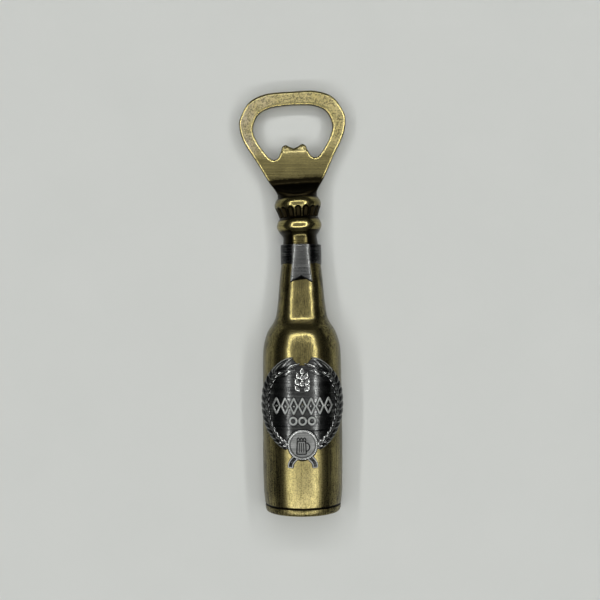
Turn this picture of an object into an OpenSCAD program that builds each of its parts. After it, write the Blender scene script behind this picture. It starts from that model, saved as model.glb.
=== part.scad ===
// Souvenir bottle opener: a beer-bottle handle with a flat back, a ring-shaped
// opener head, a crown-cap collar, a neck ribbon and a wreath badge.
// X is across the bottle, +Y runs from its base to the opener head and +Z is its
// front. The flat back lies on Z = 0 and the origin is at the middle of the back.

/* [Overall] */
// Length from the bottle's base to the top of the ring
total_length = 150; // [146:1:160]
// Height of the bottle's turning axis above the flat back
axis_height = 3; // [2.6:0.1:3.4]
// Lean of the neck end and opener head to the left, in degrees
head_lean = 3.3; // [0:0.1:4]

/* [Bottle] */
// Largest radius of the bottle's body
body_r = 14.2; // [13.8:0.1:14.8]
// Smallest radius of the neck
neck_r = 6.1; // [6:0.1:6.4]
// Thickness of the cast wall
wall = 1.8; // [1.6:0.1:2.2]
// Height of the heel disc, including its groove
heel_height = 2.9; // [2.6:0.1:3.4]
// Width of the dark groove above the heel disc
groove_width = 0.5; // [0.3:0.1:0.8]

/* [Opener head] */
// Greatest width of the ring
ring_width = 38.1; // [36.8:0.1:38.5]
// Thickness of the head's plate
plate_thickness = 3; // [2.6:0.1:3.4]
// Height of the plate's back face above the flat back
plate_lift = 2.5; // [2.2:0.1:2.8]
// Width of the tang inside the neck
tang_width = 6; // [5:0.2:6.4]
// Length of the tang below the collar
tang_length = 24; // [22:1:26]

/* [Crown cap] */
// Number of flutes all round the collar
flute_count = 18; // [14:2:22]
// Radius of each flute
flute_r = 0.85; // [0.6:0.05:0.9]
// Largest radius of the collar
cap_r = 8.35; // [8.1:0.05:8.6]

/* [Trim] */
// How far the ribbon band stands out from the neck's narrowest place
band_stand = 1.2; // [1.1:0.1:1.4]
// How far the ribbon's tail stands out from the neck
tail_thickness = 0.5; // [0.4:0.1:0.7]
// How far the badge plate stands out from the body
badge_thickness = 0.5; // [0.4:0.1:0.6]
// How far the wreath stands out from the badge plate
wreath_relief = 0.3; // [0.2:0.1:0.5]
// Number of leaf pairs on each side of the wreath
leaf_pairs = 12; // [8:1:14]

/* [Back] */
// Thickness of the back plate
back_thickness = 1; // [0.8:0.1:1.2]
// Radius of each disc magnet
magnet_r = 6; // [5:0.5:6.5]
// Thickness of each disc magnet
magnet_thickness = 2.8; // [2:0.2:3]

/* [Hidden] */
$fn = 96;

brass = "#8a7a45";
brass_light = "#b3a468";
silver = "#6f716d";
steel = "#9a9a96";
ferrite = "#2c2c2e";

eps = 0.01;
fit_gap = 0.05;
top_y = total_length / 2;
base_y = -total_length / 2;
heel_top_y = base_y + heel_height;
ring_half = ring_width / 2;
far = 40;

// Heights measured down from the top of the ring
collar_top_y = top_y - 37.9;
waist_y = top_y - 45.1;
bead_y = top_y - 48.1;
neck_min_y = top_y - 51.9;
ribbon_top_y = top_y - 54.9;
ribbon_bottom_y = top_y - 62;
tail_tip_y = top_y - 68.4;
tail_notch_y = top_y - 66.1;
shoulder_top_y = top_y - 79.7;
shoulder_end_y = top_y - 90.5;
tang_end_y = collar_top_y - tang_length;
// The neck end meets the bottle here, under the ribbon, and leans about this point
joint_y = ribbon_top_y - 2.6;

// Heights measured up from the base
badge_y = base_y + 39.1;
roundel_y = base_y + 25.3;

// Catmull-Rom curve through a list of points, with a few steps to each span
function curve_point(a, b, c, d, t) =
    0.5 * (2 * b + (c - a) * t + (2 * a - 5 * b + 4 * c - d) * t * t
    + (3 * b - a - 3 * c + d) * t * t * t);
function curve(p, steps) = [
    for (i = [0 : len(p) - 2])
    for (s = [0 : steps - 1])
    curve_point(p[max(i - 1, 0)], p[i], p[i + 1], p[min(i + 2, len(p) - 1)], s / steps),
    p[len(p) - 1]
];
function flipped(p) = [for (i = [len(p) - 1 : -1 : 0]) [-p[i].x, p[i].y]];
function inset(p, d) = [for (q = p) [q.x - d, q.y]];

// Radius and height of the bottle's outer wall, from the heel to the shoulder
body_line = [
    [body_r - 0.65, heel_top_y],
    [body_r - 0.2, base_y + 8],
    [body_r, base_y + 18],
    [body_r, base_y + 30],
    [body_r - 0.2, base_y + 52],
    [body_r - 0.5, shoulder_end_y - 1.2],
    [body_r - 1.35, shoulder_end_y + 2.6],
    [body_r - 2.4, shoulder_end_y + 5.2],
    [body_r - 4.2, shoulder_top_y - 2.8],
    [body_r - 5.2, shoulder_top_y]
];
// The same for the long cone of the neck, up to its narrowest place
neck_line = [
    [body_r - 5.2, shoulder_top_y],
    [neck_r + 2.1, shoulder_top_y + 6.5],
    [neck_r + 1.55, ribbon_bottom_y - 5],
    [neck_r + 1, ribbon_bottom_y],
    [neck_r + 0.5, ribbon_bottom_y + 4],
    [neck_r + 0.1, ribbon_top_y + 0.5],
    [neck_r, neck_min_y]
];
// The bead below the crown cap
bead_line = [
    [neck_r, neck_min_y],
    [neck_r + 1, neck_min_y + 1.7],
    [neck_r + 1.75, bead_y - 0.8],
    [neck_r + 1.95, bead_y + 0.2],
    [neck_r + 1.6, bead_y + 1.5],
    [neck_r + 0.75, waist_y]
];
// The crown cap: fluted skirt below, smooth dome above
cap_line = [
    [neck_r + 0.7, waist_y + eps],
    [cap_r - 1.2, waist_y + 1.2],
    [cap_r - 0.6, waist_y + 2.8],
    [cap_r, waist_y + 4.4],
    [cap_r - 0.2, waist_y + 5.7],
    [cap_r - 1, collar_top_y - 0.1]
];

// Outline of the ring, half-width and height, from the top to the root
root_half = 7;
ring_line = [
    [0, top_y],
    [ring_half - 10.4, top_y - 0.3],
    [ring_half - 4.2, top_y - 2.8],
    [ring_half - 0.7, top_y - 8],
    [ring_half, top_y - 11.6],
    [ring_half - 1.3, top_y - 17],
    [ring_half - 5.2, top_y - 24.1],
    [ring_half - 8.8, top_y - 31],
    [ring_half - 10.9, top_y - 34.3],
    [root_half + 0.1, top_y - 36.3],
    [root_half, collar_top_y]
];
// Outline of the opening, from the top to the valley between the teeth
opening_half = ring_half - 4.8;
tooth_y = top_y - 18.9;
tooth_step_y = top_y - 21;
opening_line = [
    [0, top_y - 4.7],
    [opening_half - 6.8, top_y - 5.3],
    [opening_half - 2.1, top_y - 7.6],
    [opening_half, top_y - 12.6],
    [opening_half - 1.1, top_y - 17],
    [opening_half - 3.6, top_y - 21.2],
    [opening_half - 5.3, top_y - 23.3],
    [7.2, top_y - 24],
    [5.7, top_y - 23.1],
    [4.8, top_y - 21.2],
    [4.1, top_y - 19.4],
    [2.8, tooth_y],
    [1.6, top_y - 19.6],
    [0, top_y - 20.3]
];

// Turns a half profile into a solid about the bottle's long axis
module turned(points) {
    translate([0, 0, axis_height])
    rotate([-90, 0, 0])
    rotate_extrude()
    polygon(points);
}

module leaned() {
    translate([0, joint_y, 0])
    rotate([0, 0, head_lean])
    translate([0, -joint_y, 0])
    children();
}

// Everything on the head's side of the leaning joint face
module above_joint() {
    leaned()
    translate([-far, joint_y, -far])
    cube([2 * far, total_length, 2 * far]);
}

module front_half() {
    translate([-far, -total_length, 0])
    cube([2 * far, 2 * total_length, far]);
}

// Closes a wall line to the axis, so that it can be turned
function closed(line) = concat(
    [[0, line[0].y]], line, [[0, line[len(line) - 1].y]]
);

outer_wall = concat(
    curve(body_line, 5), curve(neck_line, 4), curve(bead_line, 4)
);
inner_top_y = tang_end_y - 4;
inner_wall = [
    for (q = concat(curve(body_line, 3), curve(neck_line, 2)))
    if (q.y < inner_top_y) [q.x - wall, q.y]
];

module bottle_solid() {
    turned(closed(outer_wall));
}

// Half-width of the bottle where it meets the flat back, at height y
back_rim = 1.5;
back_bottom_y = heel_top_y + 0.1;
back_top_y = waist_y - 0.4;
back_neck_half = 3.9;
function flat_half(r) = sqrt(r * r - axis_height * axis_height) - back_rim;
back_side = [
    for (q = concat(curve(body_line, 3), curve(neck_line, 2)))
    if (q.y > back_bottom_y && q.y < back_top_y) [max(back_neck_half, flat_half(q.x)), q.y]
];
back_edge = concat(
    [[back_side[0].x, back_bottom_y]], back_side, [[back_neck_half, back_top_y]]
);

module back_outline(gap) {
    points = inset(back_edge, gap);
    polygon(concat(points, flipped(points)));
}

screw_head_r = 2;
screw_r = 1.1;
screw_length = 7;
boss_r = 2.6;
screw_upper_y = top_y - 70.5;
screw_lower_y = base_y + 36;
screw_places = [screw_upper_y, screw_lower_y];
magnet_upper_y = top_y - 93;
magnet_lower_y = base_y + 17;
magnet_places = [magnet_upper_y, magnet_lower_y];
peg_r = 1;
peg_upper_y = badge_y + 8;
peg_lower_y = badge_y - 9;
peg_places = [peg_upper_y, peg_lower_y];
peg_depth = wall + 0.6;

rivet_r = 1.2;
rivet_head_r = 2.2;
rivet_upper_y = bead_y - 1;
rivet_lower_y = tang_end_y + 2;
rivet_places = [rivet_upper_y, rivet_lower_y];
rivet_tip_z = plate_lift + plate_thickness + 2.4;

// Channel for the tang, open to the back plate, from start_y to the crown cap
module tang_channel(start_y) {
    leaned()
    translate([-tang_width / 2 - fit_gap, start_y, 0])
    cube([
        tang_width + 2 * fit_gap, waist_y - start_y + 2,
        plate_lift + plate_thickness + fit_gap
    ]);
}

module rivet_holes() {
    leaned()
    for (y = rivet_places)
        translate([0, y, plate_lift])
        cylinder(r = rivet_r, h = rivet_tip_z - plate_lift + 0.2);
}

module back_plate_seat() {
    translate([0, 0, -1])
    linear_extrude(1 + back_thickness)
    back_outline(-fit_gap);
}

module bottle_body() {
    color(brass)
    difference() {
        union() {
            difference() {
                intersection() {
                    bottle_solid();
                    front_half();
                }
                turned(closed(concat([[body_r - 0.65 - wall, heel_top_y - 1]], inner_wall)));
            }
            // Screw bosses stand down from the front wall to the back plate
            intersection() {
                bottle_solid();
                for (y = screw_places)
                    translate([0, y, back_thickness])
                    cylinder(r = boss_r, h = far);
            }
        }
        back_plate_seat();
        above_joint();
        tang_channel(inner_top_y - 1);
        for (y = screw_places)
            translate([0, y, back_thickness - 1])
            cylinder(r = screw_r, h = screw_length + 1);
        rivet_holes();
        for (y = peg_places)
            translate([0, y, axis_height + body_r - peg_depth - 1])
            cylinder(r = peg_r + fit_gap, h = far);
    }
}

module neck_end_solid() {
    intersection() {
        leaned()
        bottle_solid();
        above_joint();
    }
}

// The neck end with its bead, which the tang runs through
module neck_ferrule() {
    color(brass)
    difference() {
        intersection() {
            neck_end_solid();
            front_half();
        }
        tang_channel(joint_y - 1);
        rivet_holes();
        back_plate_seat();
    }
}

heel_r = body_r - 0.7;
spigot_r = body_r - 0.65 - wall - 0.15;
module base_disc() {
    color(brass)
    difference() {
        intersection() {
            turned([
                [0, base_y],
                [heel_r - 1.4, base_y],
                [heel_r - 0.9, base_y + 0.15],
                [heel_r - 0.5, base_y + 0.6],
                [heel_r - 0.2, base_y + 1.6],
                [heel_r, heel_top_y - groove_width],
                [heel_r - 0.7, heel_top_y - groove_width],
                [heel_r - 0.7, heel_top_y],
                [spigot_r, heel_top_y],
                [spigot_r, heel_top_y + 2],
                [spigot_r - 1.6, heel_top_y + 2],
                [spigot_r - 1.6, heel_top_y],
                [0, heel_top_y]
            ]);
            front_half();
        }
        // Clears the back plate
        translate([-far, heel_top_y, -1])
        cube([2 * far, far, 1 + back_thickness + fit_gap]);
    }
}

module ring_outline() {
    points = curve(ring_line, 6);
    polygon(concat(points, flipped(points)));
}

module opening_outline() {
    points = curve(opening_line, 5);
    polygon(concat(points, flipped(points)));
}

tooth_thickness = 1.7;
root_rise_y = top_y - 33;
module opener_head() {
    color(brass_light)
    leaned()
    difference() {
        union() {
            translate([0, 0, plate_lift])
            linear_extrude(plate_thickness)
            difference() {
                ring_outline();
                opening_outline();
            }
            // The root rises from the plate to the round collar
            intersection() {
                linear_extrude(far)
                ring_outline();
                rotate([90, 0, 90])
                translate([0, 0, -far])
                linear_extrude(2 * far)
                polygon(concat(
                    curve([
                        [root_rise_y, plate_lift + plate_thickness - eps],
                        [root_rise_y - 2, plate_lift + plate_thickness + 0.7],
                        [collar_top_y + 1, axis_height + root_half - 0.6],
                        [collar_top_y, axis_height + root_half]
                    ], 4),
                    [[collar_top_y, 0.8], [root_rise_y - 2, 1.6], [root_rise_y, plate_lift + eps]]
                ));
                turned([
                    [0, collar_top_y], [root_half, collar_top_y],
                    [root_half + 0.3, collar_top_y + 1.6],
                    [root_half + 2.6, root_rise_y], [0, root_rise_y]
                ]);
            }
            translate([-tang_width / 2, tang_end_y, plate_lift])
            cube([tang_width, tang_length + 1, plate_thickness]);
        }
        // The teeth are thinned in front, past a straight step
        translate([-5.2, tooth_step_y, plate_lift + tooth_thickness])
        rotate([-8, 0, 0])
        translate([0, 0, 0.35])
        cube([10.4, 6, plate_thickness]);
        for (y = rivet_places)
            translate([0, y, 0])
            cylinder(r = rivet_r, h = far);
    }
}

flute_top_y = waist_y + 2.85;
flute_lean = 24;
module crown_cap() {
    color(brass)
    leaned()
    difference() {
        intersection() {
            turned(closed(curve(cap_line, 4)));
            front_half();
        }
        // Slot for the tang
        translate([-tang_width / 2 - fit_gap, waist_y - 1, plate_lift - fit_gap])
        cube([
            tang_width + 2 * fit_gap, collar_top_y - waist_y + 2,
            plate_thickness + 2 * fit_gap
        ]);
        for (i = [0 : flute_count - 1])
            translate([0, 0, axis_height])
            rotate([0, i * 360 / flute_count, 0])
            translate([0, flute_top_y, cap_r + 0.15])
            rotate([90 + flute_lean, 0, 0]) {
                cylinder(r = flute_r, h = 5, $fn = 24);
                sphere(r = flute_r, $fn = 24);
            }
    }
}

module tang_rivet(y) {
    color(steel)
    leaned()
    translate([0, y, 0])
    union() {
        translate([0, 0, back_thickness + 0.2])
        cylinder(r = rivet_head_r, h = plate_lift - back_thickness - 0.2);
        translate([0, 0, plate_lift - eps])
        cylinder(r = rivet_r, h = rivet_tip_z - plate_lift);
    }
}

tail_half = 3.9;
tail_top_half = 2.5;
tail_top_y = ribbon_top_y - 0.2;
// How far the tail stands out from the band that it crosses
tail_over = 0.2;
tail_low_y = tail_tip_y - 1;
under_tail_r = neck_r + 1.04;
under_tail_low_r = neck_r + 1.85;
under_band_r = neck_r + 0.35;

// Outline of the tail, whose lower edge has a V cut in it
module tail_outline() {
    polygon([
        [-tail_top_half, tail_top_y],
        [-tail_half, tail_tip_y],
        [0, tail_notch_y],
        [tail_half, tail_tip_y],
        [tail_top_half, tail_top_y]
    ]);
}

module neck_ribbon() {
    band_r = neck_r + band_stand;
    color(silver)
    difference() {
        union() {
            intersection() {
                turned([
                    [0, ribbon_bottom_y], [band_r, ribbon_bottom_y],
                    [band_r, ribbon_top_y], [0, ribbon_top_y]
                ]);
                front_half();
            }
            intersection() {
                turned([
                    [0, tail_low_y], [under_tail_low_r + tail_thickness, tail_low_y],
                    [under_tail_r + tail_thickness, ribbon_bottom_y],
                    [band_r + tail_over, tail_top_y], [0, tail_top_y]
                ]);
                translate([0, 0, axis_height])
                linear_extrude(far)
                tail_outline();
            }
        }
        turned([
            [0, tail_low_y - 1], [under_tail_low_r, tail_low_y - 1],
            [under_tail_r, ribbon_bottom_y], [under_band_r, ribbon_top_y + 1],
            [0, ribbon_top_y + 1]
        ]);
    }
}

// The badge: an oval plate, a wreath of leaves, a roundel and two ribbon ends
wreath_half = 13.1;
wreath_half_height = 15.2;
band_half_width = 1.75;
leaf_depth = 0.45;
leaf_points = 6;
oval_steps = 48;
wreath_start = 27;
wreath_end = 168;
roundel_r = 5.2;
tail_out_r = 3.8;
tail_in_r = 1.9;
tail_x = 1.4;

// A point of the badge's oval, t degrees round from its lowest point and out by d
function oval(t, d) = [(wreath_half + d) * sin(t), -(wreath_half_height + d) * cos(t)];

// The edge of the wreath swells and falls back once for each leaf
function leaf_swell(i) = band_half_width - leaf_depth * pow((i % leaf_points) / leaf_points, 2);

module half_wreath() {
    steps = leaf_pairs * leaf_points;
    turn = (wreath_end - wreath_start) / steps;
    polygon(concat(
        [for (i = [0 : steps]) oval(wreath_start + i * turn, leaf_swell(steps - i))],
        [for (i = [steps : -1 : 0]) oval(wreath_start + i * turn, -leaf_swell(steps - i))]
    ));
}

module wreath_outline() {
    translate([0, badge_y])
    for (side = [0, 1])
        mirror([side, 0])
        half_wreath();
}

module badge_plate_outline() {
    polygon([
        for (i = [0 : oval_steps - 1])
        oval(i * 360 / oval_steps, 0) + [0, badge_y]
    ]);
}

module ribbon_ends_outline() {
    for (side = [0, 1])
        mirror([side, 0])
        translate([-tail_x, roundel_y - roundel_r - 2.7])
        intersection() {
            difference() {
                circle(r = tail_out_r);
                circle(r = tail_in_r);
            }
            translate([-tail_out_r, 0])
            square(tail_out_r);
        }
}

module badge_cylinder(r) {
    translate([0, base_y, axis_height])
    rotate([-90, 0, 0])
    cylinder(r = r, h = total_length);
}

// A shell on the body's front, as thick as relief, cut to the outline given
module badge_layer(relief) {
    intersection() {
        badge_cylinder(body_r + relief);
        translate([0, 0, axis_height + 1])
        linear_extrude(far)
        children();
    }
}

module emblem_badge() {
    color(silver)
    union() {
        difference() {
            union() {
                badge_layer(badge_thickness)
                badge_plate_outline();
                badge_layer(badge_thickness + wreath_relief)
                wreath_outline();
                badge_layer(badge_thickness + wreath_relief)
                translate([0, roundel_y])
                circle(r = roundel_r);
                badge_layer(badge_thickness)
                ribbon_ends_outline();
            }
            badge_cylinder(body_r + fit_gap);
        }
        for (y = peg_places)
            translate([0, y, axis_height + body_r - peg_depth])
            cylinder(r = peg_r, h = peg_depth + badge_thickness / 2);
    }
}

cup_wall = 1.2;
magnet_recess = 0.15;
screw_head_z = 0.2;
module back_plate() {
    color(brass)
    difference() {
        union() {
            linear_extrude(back_thickness)
            back_outline(0);
            for (y = magnet_places)
                translate([0, y, 0])
                cylinder(r = magnet_r + cup_wall, h = magnet_thickness + magnet_recess + cup_wall);
        }
        for (y = magnet_places)
            translate([0, y, -1])
            cylinder(r = magnet_r + fit_gap, h = magnet_thickness + magnet_recess + 1);
        for (y = screw_places)
            translate([0, y, -1]) {
                cylinder(r = screw_r, h = 5);
                cylinder(r = screw_head_r + fit_gap, h = 1 + screw_head_z);
                translate([0, 0, 1 + screw_head_z])
                cylinder(r1 = screw_head_r + fit_gap, r2 = screw_r, h = 0.7);
            }
    }
}

module plate_screw(y) {
    color(steel)
    translate([0, y, screw_head_z])
    difference() {
        union() {
            cylinder(r1 = screw_head_r, r2 = screw_r - 0.02, h = 0.68);
            cylinder(r = screw_r - 0.02, h = screw_length - screw_head_z);
        }
        // Cross recess
        for (turn = [45, 135])
            rotate([0, 0, turn])
            translate([-1.2, -0.25, -1])
            cube([2.4, 0.5, 1.45]);
    }
}

module magnet(y) {
    color(ferrite)
    translate([0, y, magnet_recess])
    cylinder(r = magnet_r, h = magnet_thickness);
}

bottle_body();
base_disc();
neck_ferrule();
crown_cap();
opener_head();
tang_rivet(rivet_upper_y);  // tang_rivet_upper
tang_rivet(rivet_lower_y);  // tang_rivet_lower
neck_ribbon();
emblem_badge();
back_plate();
plate_screw(screw_upper_y);  // plate_screw_upper
plate_screw(screw_lower_y);  // plate_screw_lower
magnet(magnet_upper_y);  // magnet_upper
magnet(magnet_lower_y);  // magnet_lower
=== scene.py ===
"""Looks of a bottle-shaped souvenir opener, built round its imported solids.

Lengths in the classes are millimetres, as a maker would write them, and become metres
when a mesh is made. X is across the bottle, +Y runs towards the opener head, +Z is its front.
"""

import logging
import math
from dataclasses import dataclass, field
from enum import Enum
from typing import Callable, Optional, Sequence

import bmesh
import bpy
import numpy as np
from numpy.typing import NDArray
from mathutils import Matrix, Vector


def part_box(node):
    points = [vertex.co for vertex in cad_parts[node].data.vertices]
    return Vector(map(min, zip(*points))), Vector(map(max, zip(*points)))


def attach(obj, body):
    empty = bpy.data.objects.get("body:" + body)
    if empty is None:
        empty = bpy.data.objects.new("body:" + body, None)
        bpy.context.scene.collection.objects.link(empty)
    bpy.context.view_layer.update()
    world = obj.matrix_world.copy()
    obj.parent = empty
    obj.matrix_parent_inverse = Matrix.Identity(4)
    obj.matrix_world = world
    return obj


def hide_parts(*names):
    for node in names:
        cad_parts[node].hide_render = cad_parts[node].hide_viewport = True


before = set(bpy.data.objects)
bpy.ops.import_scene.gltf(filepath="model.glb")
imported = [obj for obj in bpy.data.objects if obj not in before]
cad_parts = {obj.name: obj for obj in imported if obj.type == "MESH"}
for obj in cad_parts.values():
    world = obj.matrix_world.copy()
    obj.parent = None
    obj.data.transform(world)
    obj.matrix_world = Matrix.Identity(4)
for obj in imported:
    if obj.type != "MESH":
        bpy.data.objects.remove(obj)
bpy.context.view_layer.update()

Array = NDArray[np.float64]
MM = 0.001
ROOT = "root"
log = logging.getLogger("opener")


# ---------------------------------------------------------------- small mathematics

def smooth_curve(points: Sequence[Sequence[float]], steps: int) -> Array:
    """A Catmull-Rom curve: each span is a cubic whose end slopes are half the chord
    between its neighbours.

    Args:
        points: Places that the curve runs through.
        steps: Points on each span.

    Returns:
        The curve's points, one row each.
    """
    p = np.asarray(points, float)
    ends = np.vstack([p[:1], p, p[-1:]])
    a, b, c, d = ends[:-3], ends[1:-2], ends[2:-1], ends[3:]
    t = (np.arange(steps) / steps)[None, :, None]
    a, b, c, d = (q[:, None, :] for q in (a, b, c, d))
    curve = 0.5 * (2 * b + (c - a) * t + (2 * a - 5 * b + 4 * c - d) * t**2
                   + (3 * b - a - 3 * c + d) * t**3)
    return np.vstack([curve.reshape(-1, p.shape[1]), p[-1:]])


def smooth_step(low: float, high: float, value: Array) -> Array:
    """Runs from 0 at low to 1 at high with level ends: 3t^2 - 2t^3."""
    t = np.clip((value - low) / (high - low), 0.0, 1.0)
    return t * t * (3.0 - 2.0 * t)


def rubbed(angle: Array, front: float, side: float, start: float = 22.0, end: float = 46.0) -> Array:
    """Wear round the opener: rubbed in front and dark at its sides.

    Args:
        angle: Angles from the front, in radians.
        front: Wear in front.
        side: Wear at the sides.
        start: Angle at which the wear begins to fall, in degrees.
        end: Angle at which it has fallen, in degrees.

    Returns:
        Wear at each angle.
    """
    return front + (side - front) * smooth_step(math.radians(start), math.radians(end), np.abs(angle))


def ripple(x: Array, y: Array, size: float, seed: int) -> Array:
    """Soft unevenness of cast metal: a sum of eight sine waves of random direction and phase.

    Args:
        x: First coordinate, in millimetres.
        y: Second coordinate, in millimetres.
        size: Typical length of a wave, in millimetres.
        seed: Seed of the directions and phases.

    Returns:
        Values of about -1 to 1.
    """
    rng = np.random.default_rng(seed)
    total = np.zeros(np.broadcast(x, y).shape)
    for _ in range(8):
        angle, phase = rng.uniform(0, 2 * math.pi, 2)
        wave = 2 * math.pi / (size * rng.uniform(0.6, 1.7))
        total += np.sin(wave * (x * math.cos(angle) + y * math.sin(angle)) + phase)
    return total / 4.0


# ---------------------------------------------------------------- sizes

@dataclass(frozen=True)
class Sizes:
    """Driving sizes of the opener, in millimetres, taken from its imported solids."""

    base_y: float
    body_r: float
    axis_z: float
    top_y: float
    neck_r: float = 6.1
    wall: float = 1.8
    heel_height: float = 2.9
    groove: float = 0.5
    ring_half: float = 19.05
    plate_low: float = 2.5
    plate_high: float = 5.5
    cap_r: float = 8.35
    lean: float = math.radians(3.3)

    @classmethod
    def from_frame(cls) -> "Sizes":
        """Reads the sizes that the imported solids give.

        Returns:
            The sizes in millimetres.
        """
        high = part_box("bottle_body")[1]
        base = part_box("base_disc")[0].y / MM
        radius = high.x / MM
        return cls(base_y=base, body_r=radius, axis_z=high.z / MM - radius, top_y=-base)

    @property
    def heel_top_y(self) -> float:
        """Height of the body's lower edge."""
        return self.base_y + self.heel_height

    @property
    def collar_top_y(self) -> float:
        """Height of the crown cap's upper face."""
        return self.top_y - 37.9

    @property
    def waist_y(self) -> float:
        """Height of the narrow place between the cap and the bead."""
        return self.top_y - 45.1

    @property
    def neck_min_y(self) -> float:
        """Height of the narrowest place of the neck."""
        return self.top_y - 51.9

    @property
    def ribbon_top_y(self) -> float:
        """Height of the ribbon band's upper edge."""
        return self.top_y - 54.9

    @property
    def ribbon_bottom_y(self) -> float:
        """Height of the ribbon band's lower edge."""
        return self.top_y - 62.0

    @property
    def joint_y(self) -> float:
        """Height at which the neck end meets the bottle, and about which it leans."""
        return self.ribbon_top_y - 2.6

    def wall_line(self) -> Array:
        """Stations of the bottle's outer wall, heel to neck.

        Returns:
            Radius and height of each station.
        """
        shoulder = self.top_y - 79.7
        end = self.top_y - 90.5
        r, n = self.body_r, self.neck_r
        return np.array([
            [r - 0.65, self.heel_top_y], [r - 0.2, self.base_y + 8], [r, self.base_y + 18],
            [r, self.base_y + 30], [r - 0.2, self.base_y + 52], [r - 0.5, end - 1.2],
            [r - 1.35, end + 2.6], [r - 2.4, end + 5.2], [r - 4.2, shoulder - 2.8], [r - 5.2, shoulder],
            [n + 2.1, shoulder + 6.5], [n + 1.55, self.ribbon_bottom_y - 5],
            [n + 1, self.ribbon_bottom_y], [n + 0.5, self.ribbon_bottom_y + 4],
            [n + 0.1, self.ribbon_top_y + 0.5], [n, self.neck_min_y]])

    def squareness(self, y: Array) -> Array:
        """How square the neck's front is: a circle at both ends, squarer between them."""
        up = smooth_step(self.top_y - 86.0, self.top_y - 79.5, y)
        return 2.0 + 0.34 * up * smooth_step(self.ribbon_bottom_y + 5.5, self.ribbon_bottom_y - 3.0, y)

    def bead_line(self) -> Array:
        """Stations of the bead below the crown cap.

        Returns:
            Radius and height of each station.
        """
        n, low, bead = self.neck_r, self.neck_min_y, self.top_y - 48.1
        return np.array([
            [n, low], [n + 1, low + 1.7], [n + 1.75, bead - 0.8], [n + 1.95, bead + 0.2],
            [n + 1.6, bead + 1.5], [n + 0.75, self.waist_y]])

    def cap_line(self) -> Array:
        """Stations of the crown cap.

        Returns:
            Radius and height of each station.
        """
        w, c = self.waist_y, self.cap_r
        return np.array([
            [self.neck_r + 0.7, w + 0.02], [c - 1.2, w + 1.2], [c - 0.6, w + 2.8], [c, w + 4.4],
            [c - 0.2, w + 5.7], [c - 1, self.collar_top_y - 0.1]])

    def leaned(self, points: Array) -> Array:
        """Turns points about the neck joint by the lean of the opener head.

        Args:
            points: Points of an upright piece.

        Returns:
            The points of the leaning piece.
        """
        c, s = math.cos(self.lean), math.sin(self.lean)
        x, y = points[..., 0], points[..., 1] - self.joint_y
        return np.stack([c * x - s * y, s * x + c * y + self.joint_y, points[..., 2]], -1)

    def around(self, points: Array) -> Array:
        """Angle of each point about the long axis, from the front, in radians."""
        return np.arctan2(points[..., 0], points[..., 2] - self.axis_z)


# ---------------------------------------------------------------- mesh making

@dataclass
class Sheet:
    """A grid of points that closes on itself along its columns, with its ends capped.

    Attributes:
        points: Rows by columns by three, in millimetres.
        wear_and_painted_light: Rows by columns, the plating's brightness: 1 where it is rubbed bright and 0
            in the dark. In places it also holds painted highlights and painted shade.
        matte: Rows by columns, 1 where the surface is blasted and 0 where it is polished.
        ring: Whether the rows close on themselves too, so that there are no ends.
    """

    points: Array
    wear_and_painted_light: Array
    matte: Array | float = 0.0
    ring: bool = False

    def faces(self, first: int) -> list[list[int]]:
        """Faces of the grid, and one many-sided face over each end.

        Args:
            first: Number of the sheet's first vertex in its mesh.

        Returns:
            Vertex numbers of each face.
        """
        rows, cols = self.points.shape[:2]
        r = np.arange(rows if self.ring else rows - 1)[:, None]
        c = np.arange(cols)[None, :]
        nr, nc = (r + 1) % rows, (c + 1) % cols
        quads = np.stack([r * cols + c, r * cols + nc, nr * cols + nc, nr * cols + c], -1)
        faces = (quads.reshape(-1, 4) + first).tolist()
        if not self.ring:
            faces.append((first + np.arange(cols))[::-1].tolist())
            faces.append((first + (rows - 1) * cols + np.arange(cols)).tolist())
        return faces


def make_piece(name: str, sheets: Sequence[Sheet], material: bpy.types.Material,
               sharp_deg: float = 42.0) -> bpy.types.Object:
    """Joins sheets into one mesh object, with its faces outwards and its rubbed brightness, painted
    highlights and painted shade stored.

    Args:
        name: Name of the piece.
        sheets: Closed sheets, in millimetres.
        material: Finish of the piece.
        sharp_deg: Angle past which an edge stays crisp.

    Returns:
        The new object, in metres, at the origin.
    """
    points, faces, count = [], [], 0
    stored: dict[str, list[Array]] = {"wear_and_painted_light": [], "matte": []}
    for sheet in sheets:
        faces += sheet.faces(count)
        points.append(sheet.points.reshape(-1, 3))
        for key, values in (("wear_and_painted_light", sheet.wear_and_painted_light), ("matte", sheet.matte)):
            stored[key].append(np.broadcast_to(values, sheet.points.shape[:2]).reshape(-1))
        count += len(points[-1])
    mesh = bpy.data.meshes.new(name)
    mesh.from_pydata((np.concatenate(points) * MM).tolist(), [], faces)
    for key, values in stored.items():
        layer = mesh.attributes.new(key, "FLOAT", "POINT")
        layer.data.foreach_set("value", np.concatenate(values).astype(np.float32))
    form = bmesh.new()
    form.from_mesh(mesh)
    bmesh.ops.remove_doubles(form, verts=form.verts, dist=1e-7)
    bmesh.ops.recalc_face_normals(form, faces=form.faces)
    form.to_mesh(mesh)
    form.free()
    mesh.polygons.foreach_set("use_smooth", np.ones(len(mesh.polygons), bool))
    mesh.set_sharp_from_angle(angle=math.radians(sharp_deg))
    mesh.materials.append(material)
    piece = bpy.data.objects.new(name, mesh)
    bpy.context.scene.collection.objects.link(piece)
    log.info("piece %s: %d points, %d faces", name, len(mesh.vertices), len(mesh.polygons))
    return piece


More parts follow.
